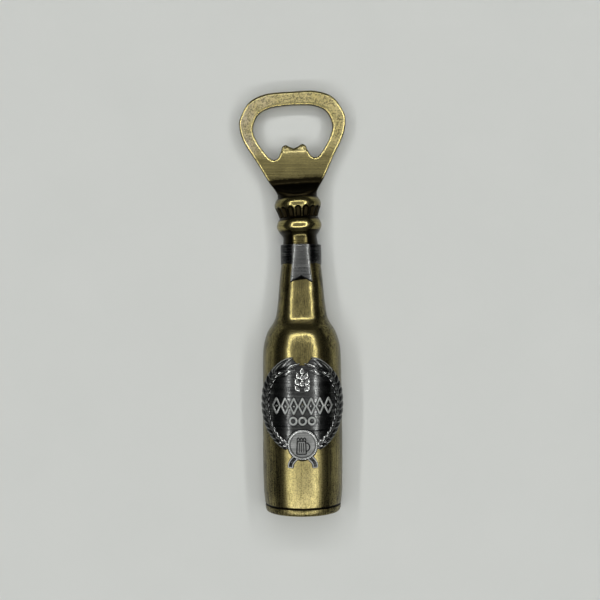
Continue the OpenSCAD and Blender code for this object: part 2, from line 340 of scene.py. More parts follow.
def mount(piece: bpy.types.Object, node: str) -> None:
    """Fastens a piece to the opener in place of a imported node.

    Args:
        piece: The finished piece.
        node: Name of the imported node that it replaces.
    """
    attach(piece, ROOT)
    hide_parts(node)


@dataclass(frozen=True)
class Section:
    """The D-shaped cross-section of the opener: round in front, flat at the back.

    Attributes:
        axis_z: Height of the round's centre above the flat back.
        arc_points: Points round the front.
        flat_points: Points across the back.
        corner: Size of the rounding where the round meets the flat.
    """

    axis_z: float
    arc_points: int
    flat_points: int = 14
    corner: float = 0.35

    def angles(self, radius: Array) -> tuple[Array, Array]:
        """Angle from the front of each arc point, for each row's radius.

        Args:
            radius: Radius of each row.

        Returns:
            The arc's angles, rows by points, and the corner's angle of each row.
        """
        corner_angle = np.arccos(-self.axis_z / radius)[:, None]
        span = corner_angle - self.corner / radius[:, None]
        return span * np.linspace(-1, 1, self.arc_points)[None, :], corner_angle

    def loops(self, radius: Array, height: Array, relief: Optional[Callable[[Array, Array], Array]] = None,
              power: Array | float = 2.0) -> tuple[Array, Array]:
        """Points of the section's loop at each height.

        The round is (r sin a, axis + r cos a). Each corner is a quadratic curve that
        leaves the round and lands on the flat, and the back is straight.

        Args:
            radius: Radius of each row.
            height: Height of each row.
            relief: Depth cut into the round at an angle and height.
            power: Squareness of the front of each row, 2 for a circle.

        Returns:
            Rows by points by three, and the angle of each arc point.
        """
        angle, corner_angle = self.angles(radius)
        y = np.broadcast_to(height[:, None], angle.shape)
        square = np.broadcast_to(power, radius.shape)[:, None]
        front = (np.abs(np.sin(angle))**square + np.abs(np.cos(angle))**square)**(-1.0 / square)
        swell = np.where(np.abs(angle) < math.pi / 2, front, 1.0)
        r = radius[:, None] * swell - (relief(angle, y) if relief else 0.0)
        arc = np.stack([r * np.sin(angle), y, self.axis_z + r * np.cos(angle)], -1)
        edge_x = radius[:, None] * np.sin(corner_angle)
        t = np.linspace(0, 1, 6)[None, 1:, None]
        start, zero = arc[:, -1:, :], np.zeros_like(edge_x)
        bend = np.stack([edge_x, height[:, None], zero], -1)
        land = np.stack([edge_x - self.corner, height[:, None], zero], -1)
        right = (1 - t)**2 * start + 2 * t * (1 - t) * bend + t**2 * land
        across = np.linspace(1, -1, self.flat_points)[None, 1:-1]
        flat = np.stack([across * land[:, :, 0], np.broadcast_to(height[:, None], (len(height), across.size)),
                         np.zeros((len(height), across.size))], -1)
        left = right[:, ::-1, :] * np.array([-1.0, 1.0, 1.0])
        return np.concatenate([arc, right, flat, left], 1), angle


def crisp_rows(line: Array, steps: int, edge: float = 0.25) -> Array:
    """A smooth wall line with a small chamfer row at each end, so its edges look eased.

    Args:
        line: Stations as radius and height.
        steps: Points on each span.
        edge: Size of the easing.

    Returns:
        Radius and height of each row.
    """
    curve = smooth_curve(line, steps)
    low, high = curve[0], curve[-1]
    start = [[low[0] - edge, low[1]], [low[0] - edge * 0.3, low[1] + edge * 0.3]]
    finish = [[high[0] - edge * 0.3, high[1] - edge * 0.3], [high[0] - edge, high[1]]]
    inner = curve[(curve[:, 1] > low[1] + edge) & (curve[:, 1] < high[1] - edge)]
    return np.vstack([start, inner, finish])


# ---------------------------------------------------------------- finishes

class Grain(Enum):
    """Direction in which a finish was brushed."""

    LENGTHWISE = (2600.0, 60.0, 2600.0)
    CROSSWISE = (70.0, 3200.0, 70.0)


class NodeTree:
    """Adds and links the nodes of one material."""

    def __init__(self, name: str) -> None:
        """Starts an empty material.

        Args:
            name: Name of the material.
        """
        self.material = bpy.data.materials.new(name)
        self.material.use_nodes = True
        self.tree = self.material.node_tree
        self.shader = self.tree.nodes["Principled BSDF"]
        self.place = self.tree.nodes.new("ShaderNodeTexCoord").outputs["Object"]

    def link(self, source: bpy.types.NodeSocket, target: bpy.types.NodeSocket) -> None:
        """Links one socket to another."""
        self.tree.links.new(source, target)

    def noise(self, scale: Sequence[float] | float, detail: float = 3.0,
              rough: float = 0.55) -> bpy.types.NodeSocket:
        """Noise on the object's own coordinates.

        Args:
            scale: Waves per metre, along each axis or along all.
            detail: Octaves of finer noise.
            rough: Strength of each finer octave.

        Returns:
            The noise's value socket.
        """
        mapping = self.tree.nodes.new("ShaderNodeMapping")
        mapping.inputs["Scale"].default_value = scale if isinstance(scale, tuple) else (scale,) * 3
        self.link(self.place, mapping.inputs["Vector"])
        node = self.tree.nodes.new("ShaderNodeTexNoise")
        node.inputs["Scale"].default_value = 1.0
        node.inputs["Detail"].default_value = detail
        node.inputs["Roughness"].default_value = rough
        self.link(mapping.outputs["Vector"], node.inputs["Vector"])
        return node.outputs["Fac"]

    def remap(self, value: bpy.types.NodeSocket, low: float, high: float,
              to_low: float, to_high: float) -> bpy.types.NodeSocket:
        """Stretches a value from one range to another, clamped.

        Args:
            value: Value to stretch.
            low: Lower end of its range.
            high: Upper end of its range.
            to_low: What the lower end becomes.
            to_high: What the upper end becomes.

        Returns:
            The stretched value's socket.
        """
        node = self.tree.nodes.new("ShaderNodeMapRange")
        for key, number in zip(("From Min", "From Max", "To Min", "To Max"), (low, high, to_low, to_high)):
            node.inputs[key].default_value = number
        self.link(value, node.inputs["Value"])
        return node.outputs["Result"]

    def combine(self, how: str, first: bpy.types.NodeSocket, second: object) -> bpy.types.NodeSocket:
        """Joins two values with a Math node.

        Args:
            how: Name of the operation, such as ADD or MULTIPLY.
            first: First value.
            second: Second value, a socket or a number.

        Returns:
            The clamped result.
        """
        node = self.tree.nodes.new("ShaderNodeMath")
        node.operation = how
        node.use_clamp = True
        self.link(first, node.inputs[0])
        if isinstance(second, (int, float)):
            node.inputs[1].default_value = second
        else:
            self.link(second, node.inputs[1])
        return node.outputs["Value"]

    def blend(self, factor: bpy.types.NodeSocket, dark: object, light: object) -> bpy.types.NodeSocket:
        """Mixes two colours.

        Args:
            factor: 0 for dark, 1 for light.
            dark: A socket or a colour of three numbers.
            light: A socket or a colour of three numbers.

        Returns:
            The colour socket.
        """
        node = self.tree.nodes.new("ShaderNodeMix")
        node.data_type = "RGBA"
        self.link(factor, node.inputs["Factor"])
        for socket, colour in ((node.inputs[6], dark), (node.inputs[7], light)):
            if isinstance(colour, tuple):
                socket.default_value = (*colour, 1.0)
            else:
                self.link(colour, socket)
        return node.outputs[2]

    def across(self) -> bpy.types.NodeSocket:
        """Place across the object.

        Returns:
            The socket of the X coordinate, in metres.
        """
        node = self.tree.nodes.new("ShaderNodeSeparateXYZ")
        self.link(self.place, node.inputs["Vector"])
        return node.outputs["X"]

    def stored(self, name: str) -> bpy.types.NodeSocket:
        """A value stored on the mesh.

        Args:
            name: Name of the mesh attribute.

        Returns:
            The value's socket.
        """
        node = self.tree.nodes.new("ShaderNodeAttribute")
        node.attribute_name = name
        return node.outputs["Fac"]

    def bump(self, height: bpy.types.NodeSocket, depth: float,
             under: Optional[bpy.types.NodeSocket] = None) -> bpy.types.NodeSocket:
        """A bump of real depth.

        Args:
            height: Height from 0 to 1.
            depth: Depth of the bump in metres.
            under: Normal to build on.

        Returns:
            The normal socket.
        """
        node = self.tree.nodes.new("ShaderNodeBump")
        node.inputs["Strength"].default_value = 1.0
        node.inputs["Distance"].default_value = depth
        self.link(height, node.inputs["Height"])
        if under:
            self.link(under, node.inputs["Normal"])
        return node.outputs["Normal"]


@dataclass(frozen=True)
class AntiqueMetal:
    """Plating that is dark in its hollows and rubbed bright on its high places. The brightness stored on each
    mesh also carries painted highlights and painted shade in places.

    Attributes:
        name: Name of the material.
        bright: Colour of the rubbed metal.
        patina: Colour of the dark film.
        grain: Direction of the brushing.
        gloss: Roughness of the rubbed metal.
        dull: Roughness of the dark film.
        speckle: Strength of the fine spots, 0 to 1.
        streak: Depth of the brushing, in metres.
        pit: Depth of the fine pits, in metres.
        blast: Roughness that a fully blasted place has more.
        grit: Depth of the grain in a blasted place, in metres.
        mottle: Strength of the grain's light and dark spots, 0 to 1.
        blush: Colour of faint stains in a blasted place.
    """

    name: str
    bright: tuple[float, float, float]
    patina: tuple[float, float, float]
    grain: Grain = Grain.LENGTHWISE
    gloss: float = 0.15
    dull: float = 0.3
    speckle: float = 0.14
    streak: float = 1.2e-6
    pit: float = 2.0e-6
    blast: float = 0.2
    grit: float = 60e-6
    mottle: float = 0.3
    blush: tuple[float, float, float] = (0.5, 0.42, 0.3)

    def make(self) -> bpy.types.Material:
        """Builds the material.

        Returns:
            The finished material.
        """
        t = NodeTree(self.name)
        t.shader.inputs["Metallic"].default_value = 1.0
        fine = t.noise(2400.0, 4.0, 0.6)
        brushed = t.noise(self.grain.value, 4.0, 0.6)
        cloud = t.noise((150.0, 90.0, 150.0), 3.0, 0.6)
        stain = t.remap(cloud, 0.35, 0.7, -0.08, 0.08)
        lines = t.remap(brushed, 0.3, 0.7, -0.22, 0.22)
        blasted = t.stored("matte")
        grain = t.noise(1900.0, 2.0, 0.7)
        spots = t.remap(fine, 0.35, 0.65, -self.speckle, self.speckle)
        grit = t.combine("MULTIPLY", t.remap(grain, 0.35, 0.65, -0.6 * self.mottle, self.mottle), blasted)
        grit.node.use_clamp = False
        # The stored brightness holds rubbing and patina, and in places painted highlights and painted shade.
        wear_and_painted_light = self._sum(t, (t.stored("wear_and_painted_light"), stain, lines, spots, grit))
        left = t.remap(t.across(), -0.008, -0.019, 0.16, 0.7)
        stained = t.combine("MULTIPLY", t.remap(cloud, 0.35, 0.55, 0.3, 1.0), left)
        stained = t.combine("MULTIPLY", stained, blasted)
        rubbed_colour = t.blend(stained, self.bright, self.blush)
        t.link(t.blend(wear_and_painted_light, self.patina, rubbed_colour), t.shader.inputs["Base Color"])
        polish = t.remap(wear_and_painted_light, 0.0, 1.0, self.dull, self.gloss)
        matte = t.combine("MULTIPLY", blasted, self.blast)
        t.link(t.combine("ADD", polish, matte), t.shader.inputs["Roughness"])
        normal = t.bump(t.combine("MULTIPLY", grain, blasted), self.grit, t.bump(fine, self.pit))
        t.link(t.bump(brushed, self.streak, normal), t.shader.inputs["Normal"])
        return t.material

    @staticmethod
    def _sum(tree: NodeTree, values: Sequence[bpy.types.NodeSocket]) -> bpy.types.NodeSocket:
        """Adds values, and clamps only the last sum.

        Args:
            tree: Node tree of the material.
            values: Values to add, in order.

        Returns:
            The socket of the sum.
        """
        total = values[0]
        for value in values[1:]:
            total = tree.combine("ADD", total, value)
            total.node.use_clamp = value is values[-1]
        return total


@dataclass(frozen=True)
class PlainMetal:
    """An unplated fixing or a sintered magnet.

    Attributes:
        name: Name of the material.
        colour: Base colour.
        rough: Middle roughness.
        metal: 1 for metal and 0 for ceramic.
    """

    name: str
    colour: tuple[float, float, float]
    rough: float
    metal: float

    def make(self) -> bpy.types.Material:
        """Builds the material.

        Returns:
            The finished material.
        """
        t = NodeTree(self.name)
        t.shader.inputs["Metallic"].default_value = self.metal
        grain = t.noise(1800.0, 4.0, 0.6)
        cloud = t.noise(220.0)
        dark = tuple(0.6 * c for c in self.colour)
        t.link(t.blend(t.remap(cloud, 0.3, 0.7, 0.0, 1.0), dark, self.colour), t.shader.inputs["Base Color"])
        t.link(t.remap(grain, 0.3, 0.7, self.rough - 0.1, self.rough + 0.12), t.shader.inputs["Roughness"])
        t.link(t.bump(grain, 3e-6), t.shader.inputs["Normal"])
        return t.material


@dataclass
class Finishes:
    """All the finishes of the opener, made once."""

    body: bpy.types.Material = field(init=False)
    neck: bpy.types.Material = field(init=False)
    head: bpy.types.Material = field(init=False)
    ribbon: bpy.types.Material = field(init=False)
    badge: bpy.types.Material = field(init=False)
    steel: bpy.types.Material = field(init=False)
    ferrite: bpy.types.Material = field(init=False)

    BRASS = (0.66, 0.56, 0.225)
    HEAD_BRASS = (0.68, 0.58, 0.24)
    BRASS_FILM = (0.014, 0.011, 0.005)
    SILVER = (0.52, 0.53, 0.51)
    SILVER_FILM = (0.012, 0.0125, 0.013)

    def __post_init__(self) -> None:
        """Makes each material."""
        self.body = AntiqueMetal("antique_brass_body", self.BRASS, self.BRASS_FILM, Grain.LENGTHWISE).make()
        self.neck = AntiqueMetal("antique_brass_neck", self.BRASS, self.BRASS_FILM, Grain.CROSSWISE,
                                 gloss=0.13, speckle=0.1, pit=1.2e-6).make()
        self.head = AntiqueMetal("brushed_brass_head", self.HEAD_BRASS, self.BRASS_FILM, Grain.CROSSWISE,
                                 gloss=0.17, dull=0.32, speckle=0.12, streak=7e-6, mottle=0.8,
                                 blush=(0.6, 0.53, 0.46)).make()
        self.ribbon = AntiqueMetal("antique_silver_ribbon", self.SILVER, self.SILVER_FILM, Grain.CROSSWISE,
                                   gloss=0.14, speckle=0.12).make()
        self.badge = AntiqueMetal("antique_silver_badge", self.SILVER, self.SILVER_FILM, Grain.CROSSWISE,
                                  gloss=0.14, dull=0.24, speckle=0.08, pit=1e-6, streak=0.8e-6,
                                  blast=0.3, grit=8e-6, mottle=0.06, blush=self.SILVER).make()
        self.steel = PlainMetal("zinc_plated_steel", (0.5, 0.5, 0.48), 0.35, 1.0).make()
        self.ferrite = PlainMetal("ferrite", (0.05, 0.05, 0.055), 0.55, 0.0).make()


# ---------------------------------------------------------------- the bottle

@dataclass
class Bottle:
    """The cast bottle: its shell, heel disc, neck end and crown cap."""

    sizes: Sizes
    finishes: Finishes
    rim: float = 1.5
    seat: float = 1.05
    inside_points: int = 48
    arc_points: int = 190
    neck_arc_points: int = 150
    cap_arc_points: int = 430
    flutes: int = 18
    flute_depth: float = 0.85
    flute_half: float = 0.42
    flute_rise: float = 2.9

    def build(self) -> None:
        """Builds and fastens every piece of the bottle."""
        self.shell()
        self.heel()
        self.neck_end()
        self.crown_cap()

    def shell(self) -> None:
        """The open-backed shell.

        Each row's loop runs round the outside, along the rim that lies on the table, up
        the step that the back plate sits in, and back round the inside of the wall.
        """
        s = self.sizes
        line = s.wall_line()
        curve = crisp_rows(line, 26)
        curve = curve[curve[:, 1] <= s.joint_y - 0.2]
        radius, height = curve[:, 0], curve[:, 1]
        section = Section(s.axis_z, arc_points=self.arc_points)

        def dents(angle: Array, y: Array) -> Array:
            """Shallow unevenness of the casting."""
            return 0.012 * ripple(14.0 * angle, y, 3.2, 11) + 0.018 * ripple(14.0 * angle, y, 9.0, 12)

        outer, _ = section.loops(radius, height, dents, s.squareness(height))
        arc_and_corners = section.arc_points + 5
        right = outer[:, :arc_and_corners]
        left = outer[:, -5:]
        inner_r = np.maximum(radius - s.wall, 3.6)
        seat_x = np.sqrt(radius**2 - s.axis_z**2) - self.rim
        seat_drop = s.axis_z - self.seat
        inner_edge = np.minimum(seat_x - 0.3, np.sqrt(np.maximum(inner_r**2 - seat_drop**2, 1.0)))
        edge_angle = math.pi - np.arctan2(inner_edge, seat_drop)
        part = np.linspace(1, -1, self.inside_points)[None, :]
        sweep = edge_angle[:, None] * part
        ring_r = np.hypot(inner_edge, seat_drop)[:, None]
        ring_r = ring_r + (inner_r[:, None] - ring_r) * np.clip((1 - np.abs(part)) * 8, 0, 1)
        inside = np.stack([ring_r * np.sin(sweep), np.broadcast_to(height[:, None], sweep.shape),
                           s.axis_z + ring_r * np.cos(sweep)], -1)

        def corner(x: Array, z: float) -> Array:
            """One column of the loop, at x and z on every row."""
            return np.stack([x, height, np.full_like(x, z)], -1)[:, None, :]

        loop = np.concatenate([
            right, corner(seat_x, 0.0), corner(seat_x, self.seat), inside,
            corner(-seat_x, self.seat), corner(-seat_x, 0.0), left], 1)
        around = s.around(loop)
        foot = smooth_step(s.base_y + 27, s.base_y + 21, height)[:, None]
        front = rubbed(around, 1.0, 0.0, 14.0, 40.0)
        wear_and_painted_light = 0.2 + 0.3 * front + 0.24 * foot * front
        wear_and_painted_light = wear_and_painted_light - 0.08 * smooth_step(s.joint_y - 16, s.joint_y - 4, height)[:, None] * front
        wear_and_painted_light[height < s.heel_top_y + 0.12] = -0.5
        matte = foot * rubbed(around, 1.0, 0.25, 16.0, 34.0)
        mount(make_piece("bottle_shell", [Sheet(loop, wear_and_painted_light, matte)], self.finishes.body),
              "bottle_body")

    def heel(self) -> None:
        """The heel disc, with the dark groove above it."""
        s = self.sizes
        r = s.body_r - 0.7
        low, high = s.base_y, s.heel_top_y
        profile = np.array([
            [r - 1.2, low], [r - 0.8, low + 0.07], [r - 0.5, low + 0.25], [r - 0.3, low + 0.55],
            [r - 0.17, low + 0.95], [r - 0.06, low + 1.5], [r - 0.02, high - s.groove - 0.3],
            [r - 0.05, high - s.groove - 0.08], [r - 0.2, high - s.groove],
            [r - 0.7, high - s.groove], [r - 0.72, high - 0.01], [r - 2.6, high]])
        section = Section(s.axis_z, arc_points=self.arc_points)
        loops, _ = section.loops(profile[:, 0], profile[:, 1])
        dark = (profile[:, 1] > high - s.groove - 0.02)[:, None]
        around = s.around(loops)
        wear_and_painted_light = np.where(dark, -0.8, rubbed(around, 0.42, 0.2))
        mount(make_piece("heel_disc", [Sheet(loops, wear_and_painted_light, 0.7)], self.finishes.body),
              "base_disc")

    def neck_end(self) -> None:
        """The neck end with its bead, leaning with the head."""
        s = self.sizes
        wall = s.wall_line()
        line = np.vstack([wall[-3:-1], s.bead_line()])
        curve = crisp_rows(line, 14, 0.1)
        curve = curve[curve[:, 1] >= s.joint_y]
        section = Section(s.axis_z, arc_points=self.neck_arc_points)

        def dents(angle: Array, y: Array) -> Array:
            """Shallow unevenness of the casting."""
            return 0.01 * ripple(7.0 * angle, y, 2.4, 21)

        loops, _ = section.loops(curve[:, 0], curve[:, 1], dents)
        height = curve[:, 1][:, None]
        bead = smooth_step(s.neck_r + 0.9, s.neck_r + 1.7, curve[:, 0])[:, None]
        around = s.around(loops)
        wear_and_painted_light = rubbed(around, 0.15, -0.3, 20, 30) + bead * rubbed(around, 0.36, 0.72, 22, 40)
        wear_and_painted_light = wear_and_painted_light - 0.6 * smooth_step(s.waist_y - 0.9, s.waist_y - 0.1, height)
        mount(make_piece("neck_end", [Sheet(s.leaned(loops), wear_and_painted_light)], self.finishes.neck),
              "neck_ferrule")

    def crown_cap(self) -> None:
        """The crown cap: a smooth dome above, and flutes with arched tops below.

        A flute's depth is that of a round gouge across its width, and it runs out at
        a height that falls from the middle of the flute to its sides, as a half circle.
        """
        s = self.sizes
        curve = crisp_rows(s.cap_line(), 18, 0.12)
        section = Section(s.axis_z, arc_points=self.cap_arc_points)
        pitch = 2 * math.pi / self.flutes
        arch_y = s.waist_y + self.flute_rise

        def local(angle: Array) -> Array:
            """Place across a flute, -0.5 to 0.5 of the pitch."""
            return (angle / pitch + 0.5) % 1.0 - 0.5

        def gouge(angle: Array, y: Array) -> Array:
            """Depth of the flutes.

            Args:
                angle: Angles from the front.
                y: Heights.

            Returns:
                The depth cut at each place.
            """
            across = np.clip(local(angle) / self.flute_half, -1, 1)
            round_cut = np.sqrt(np.maximum(1 - across**2, 0.0))
            stop = arch_y + 1.15 * round_cut
            run_out = smooth_step(0.0, 0.55, stop - y)
            start = smooth_step(s.waist_y - 0.1, s.waist_y + 0.5, y)
            return self.flute_depth * round_cut * run_out * start

        loops, angle = section.loops(curve[:, 0], curve[:, 1], gouge)
        height = curve[:, 1][:, None]
        cut = gouge(angle, np.broadcast_to(height, angle.shape)) / self.flute_depth
        arc_wear = rubbed(angle, 0.5, 0.26, 20, 60) - 1.2 * smooth_step(0.03, 0.35, cut)
        top_edge = smooth_step(s.collar_top_y - 0.9, s.collar_top_y - 0.2, height)
        low_edge = smooth_step(s.waist_y + 4.1, s.waist_y + 2.6, height)
        wear_and_painted_light = np.full(loops.shape[:2], 0.3)
        wear_and_painted_light[:, :section.arc_points] = arc_wear - 0.5 * top_edge - 0.5 * low_edge
        mount(make_piece("crown_cap_collar", [Sheet(s.leaned(loops), wear_and_painted_light)], self.finishes.neck),
              "crown_cap")


# ---------------------------------------------------------------- the opener head

@dataclass
class OpenerHead:
    """The flat ring with its two teeth, its web and its root."""

    sizes: Sizes
    finishes: Finishes
    around: int = 960
    across: int = 34
    root_half: float = 7.0
    tooth_front: float = 2.55
    tooth_half: float = 5.0
    tang_half: float = 3.0
    tang_length: float = 24.0
    fillet_in: tuple[float, ...] = (0.0, 0.02, 0.08, 0.17, 0.28, 0.41, 0.56, 0.73, 0.95)
    fillet_drop: tuple[float, ...] = (0.66, 0.45, 0.33, 0.235, 0.165, 0.11, 0.063, 0.026, 0.0)

    @property
    def step_y(self) -> float:
        """Height of the step past which the teeth are thinned."""
        return self.sizes.top_y - 21.0

    def ring_line(self) -> Array:
        """Right half of the outline, from the top to the middle of the root.

        Returns:
            Stations of the outline.
        """
        t, r = self.sizes.top_y, self.sizes.ring_half
        root = self.sizes.collar_top_y
        return np.array([
            [0, t], [r - 10.4, t - 0.3], [r - 4.2, t - 2.8], [r - 0.7, t - 8], [r, t - 11.6],
            [r - 1.3, t - 17], [r - 5.2, t - 24.1], [r - 8.8, t - 31], [r - 10.9, t - 34.3],
            [self.root_half + 0.1, t - 36.3], [self.root_half, root]])

    def opening_line(self) -> Array:
        """Right half of the opening, from the top to the valley between the teeth.

        Returns:
            Stations of the opening.
        """
        t, o = self.sizes.top_y, self.sizes.ring_half - 4.8
        return np.array([
            [0, t - 4.7], [o - 6.8, t - 5.3], [o - 2.1, t - 7.6], [o, t - 12.6], [o - 1.1, t - 17],
            [o - 3.6, t - 21.2], [o - 5.3, t - 23.3], [7.2, t - 24.0], [5.7, t - 23.1],
            [4.8, t - 21.2], [4.1, t - 19.4], [2.8, t - 18.9], [1.6, t - 19.6], [0, t - 20.3]])

    def outlines(self) -> tuple[Array, Array]:
        """Outer and inner outline, point for point, all the way round.

        Each half is read at matching places: the ring's crown, corner, widest place and
        flank, then the notch beside the root's corner, and the valley beside its middle.

        Returns:
            Two closed outlines of the same number of points.
        """
        steps = 40
        outer = smooth_curve(self.ring_line(), steps)
        root = np.linspace(outer[-1], [0.0, outer[-1][1]], 2 * steps + 1)[1:]
        outer = np.vstack([outer, root])
        inner = smooth_curve(self.opening_line(), steps)
        outer_marks = np.array([0, 1, 2, 4, 5.6, 7.0, 8.2, 9.2, 10.0, 10.7, 12.0])
        inner_marks = np.array([0, 1, 2, 3, 4.4, 5.6, 7.0, 8.6, 10.0, 11.2, 13.0])
        u = np.linspace(0, 1, self.around // 2 + 1)
        lengths = np.concatenate([[0], np.cumsum(np.hypot(*np.diff(inner, axis=0).T))])
        places = np.interp(u * lengths[-1], lengths, np.arange(len(inner)) / steps)
        matched = np.interp(places, inner_marks, outer_marks)

        def read(line: Array, place: Array) -> Array:
            """Points of a line at station numbers."""
            index = np.arange(len(line)) / steps
            return np.stack([np.interp(place, index, line[:, k]) for k in (0, 1)], -1)

        def whole(half: Array) -> Array:
            """A closed outline from its right half."""
            return np.vstack([half, half[-2:0:-1] * np.array([-1.0, 1.0])])

        return whole(read(outer, matched)), whole(read(inner, places))

    def front(self, x: Array, y: Array) -> Array:
        """Height of the front face: flat, thinned at the teeth, and domed at the root.

        At the root the face rises to a rounded dome whose flanks fall towards the
        outline, by a curve that is squarer far from the collar.

        Args:
            x: Places across the head.
            y: Places along the head.

        Returns:
            Height above the table.
        """
        s = self.sizes
        flat = np.full(np.shape(x), s.plate_high)
        rise = smooth_step(s.collar_top_y + 5.9, s.collar_top_y + 0.2, y)
        crown = flat + (s.axis_z + self.root_half - s.plate_high) * rise**1.3
        side = flat + (s.axis_z + 0.5 - s.plate_high) * smooth_step(s.collar_top_y + 2.8, s.collar_top_y, y)
        half = self.root_half + 0.1 + 3.6 * smooth_step(s.collar_top_y, s.collar_top_y + 5.2, y)
        power = 2.0 + 3.0 * smooth_step(s.collar_top_y, s.collar_top_y + 5.4, y)
        dome = np.maximum(1 - np.minimum(np.abs(x) / half, 1.0)**power, 0.0)**(1 / power)
        root = side + (crown - side) * dome
        past = y - self.step_y
        below_crown = y < s.top_y - 16
        tip = smooth_step(-0.12, 0.12, past) * (np.abs(x) < 6.0) * below_crown
        thin = s.plate_low + self.tooth_front - 0.06 * past
        ease = np.clip((past + 0.95) / 0.95, 0.0, 1.0) * (np.abs(x) < 5.4) * below_crown
        return (root - 0.19 * ease) * (1 - tip) + np.minimum(thin, flat) * tip

    def back(self, y: Array) -> Array:
        """Height of the back face: flat, and falling a little at the root."""
        s = self.sizes
        return s.plate_low - 1.2 * smooth_step(s.collar_top_y + 4.5, s.collar_top_y + 0.5, y)

    def build(self) -> None:
        """Builds the ring as one closed surface, and the tang below it.

        The surface runs from the outline, over its rounded edge, across the front to
        the opening, over that edge, down its wall and back underneath.
        """
        s = self.sizes
        outer, inner = self.outlines()

        def inward(line: Array, sign: float) -> Array:
            """Unit vectors that point from an outline into the metal.

            Args:
                line: Closed outline.
                sign: 1 for the outer outline and -1 for the opening.

            Returns:
                One vector for each point.
            """
            tangent = np.roll(line, -1, 0) - np.roll(line, 1, 0)
            tangent /= np.linalg.norm(tangent, axis=1, keepdims=True)
            return sign * np.stack([tangent[:, 1], -tangent[:, 0]], -1)

        out_n, in_n = inward(outer, 1.0), inward(inner, -1.0)
        slide, drop = np.array(self.fillet_in), np.array(self.fillet_drop)
        v = np.linspace(0, 1, self.across)

        def edge_rows(line: Array, normal: Array) -> tuple[Array, Array]:
            """Places and drops over a rounded edge, from the wall to the face.

            Args:
                line: Closed outline.
                normal: Vectors into the metal.

            Returns:
                Places of each row, and how far each lies below the face.
            """
            size = np.ones(len(line))
            near_root = smooth_step(s.collar_top_y + 3.0, s.collar_top_y, line[:, 1])
            size = size * (1 - 0.75 * near_root)
            place = line[:, None, :] + normal[:, None, :] * (size[:, None] * slide[None, :])[:, :, None]
            return place, size[:, None] * drop[None, :]

        place_o, drop_o = edge_rows(outer, out_n)
        place_i, drop_i = edge_rows(inner, in_n)
        span = place_o[:, -1:, :] + (place_i[:, -1:, :] - place_o[:, -1:, :]) * v[None, 1:-1, None]
        flat_xy = np.concatenate([place_o, span, place_i[:, ::-1]], 1)
        fall = np.concatenate([drop_o, np.zeros(span.shape[:2]), drop_i[:, ::-1]], 1)
        x, y = flat_xy[..., 0], flat_xy[..., 1]
        grain = 0.02 * ripple(x, y, 4.0, 31)
        top = self.front(x, y) - fall + grain * (fall < 1e-6)
        under = self.back(y) + fall
        middle = 0.5 * (top + under)
        top = np.maximum(top, middle + 0.02)
        under = np.minimum(under, middle - 0.02)
        front = np.stack([x, y, top], -1)
        back = np.stack([x, y, under], -1)[:, ::-1]
        loop = np.concatenate([front, back], 1)
        face, blasted = self.face_finish(x, y, fall)
        wear_and_painted_light = np.concatenate([face, np.full_like(face, 0.45)], 1)
        matte = np.concatenate([blasted, np.full_like(face, 0.3)], 1)
        ring = Sheet(s.leaned(loop), wear_and_painted_light, matte, ring=True)
        mount(make_piece("opener_ring", [ring, self.tang()], self.finishes.head),
              "opener_head")

    def face_finish(self, x: Array, y: Array, fall: Array) -> tuple[Array, Array]:
        """Finish of the front: blasted on the ring, brushed on the web, dark at the root.

        The rounded edges and the step at the teeth are rubbed bright and carry a painted highlight,
        and the walls below the edges are painted dark as shade.

        Args:
            x: Places across the head.
            y: Places along the head.
            fall: How far each place lies below the face.

        Returns:
            Rubbed brightness with painted highlights and painted shade, and how blasted each place is.
        """
        s = self.sizes
        at_teeth = np.abs(x) < self.tooth_half
        rounded = smooth_step(0.01, 0.06, fall) * (fall < 0.3)
        blasted = smooth_step(s.top_y - 25, s.top_y - 19, y) * (1 - rounded)
        # Painted highlight along the step at the teeth, partly a rubbed edge.
        step_rub_and_highlight = np.exp(-((y - self.step_y + 0.3) / 0.3)**2) * at_teeth
        tooth = at_teeth * (y > self.step_y) * (y < s.top_y - 17)
        face = 0.42 + 0.16 * smooth_step(s.top_y - 32, s.top_y - 25, y) + 0.1 * blasted
        # Rounded edges and the step: rubbed bright, with a painted highlight on top.
        face = face + 0.16 * rounded + 0.5 * step_rub_and_highlight - 0.3 * tooth
        face = face - 1.3 * smooth_step(s.collar_top_y + 8.0, s.collar_top_y + 4.2, y)
        # Walls below the rounded edges: painted shade.
        return face - 1.5 * (fall >= 0.4), blasted

    def tang(self) -> Sheet:
        """The flat tang that runs down inside the neck.

        Returns:
            The tang's sheet.
        """
        s = self.sizes
        low, high = s.collar_top_y - self.tang_length, s.collar_top_y - 0.02
        half = self.tang_half
        corners = np.array([[-half, s.plate_low + 0.1], [half, s.plate_low + 0.1],
                            [half, s.plate_high - 0.1], [-half, s.plate_high - 0.1]])
        rows = [np.column_stack([corners[:, 0], np.full(4, y), corners[:, 1]]) for y in (low, high)]
        return Sheet(s.leaned(np.stack(rows)), np.full((2, 4), 0.3))


# ---------------------------------------------------------------- the ribbon

